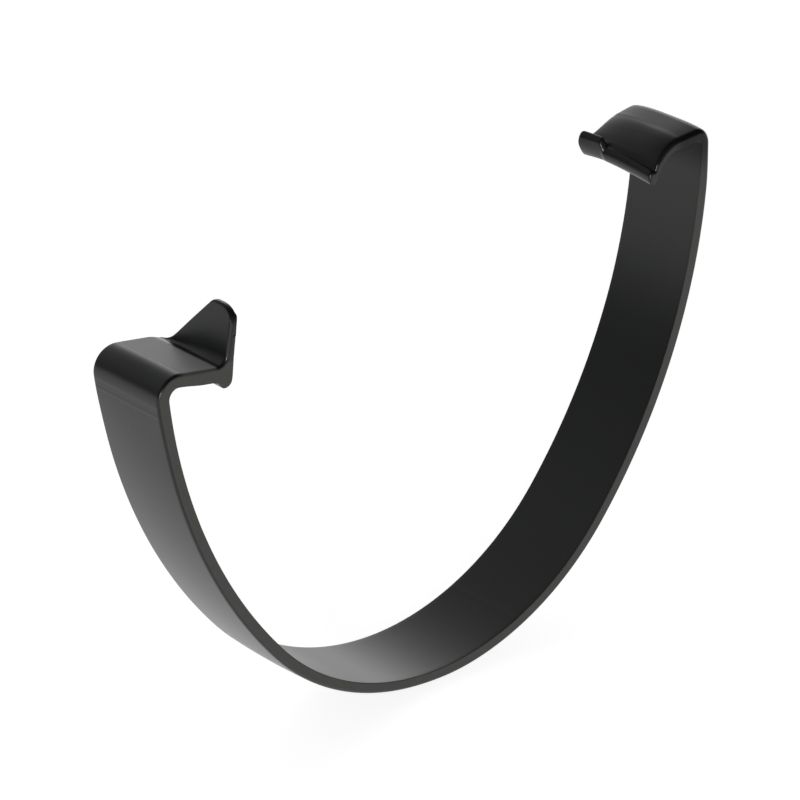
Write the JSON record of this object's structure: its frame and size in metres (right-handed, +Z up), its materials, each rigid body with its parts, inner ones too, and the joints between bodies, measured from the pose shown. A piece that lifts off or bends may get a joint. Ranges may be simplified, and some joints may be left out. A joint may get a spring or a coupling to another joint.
{
  "type": "clip-over gutter bracket",
  "caption": "Moulded strap bracket that wraps under a deep half-round gutter and snaps over its front and wall rims.",
  "frame": {"origin": "where the gutter's lowest line rests on the strap's inner face, in the middle of the strap's width", "axes": "+X across the gutter from the front rim to the wall rim, +Y along the gutter, +Z up"},
  "size_m": [0.1198, 0.0164, 0.0838],
  "materials": {
    "black_plastic": "moulded, semi-gloss black, with fine flow marks"
  },
  "bodies": {
    "root": {"bracket": "black_plastic"}
  },
  "joints": []
}
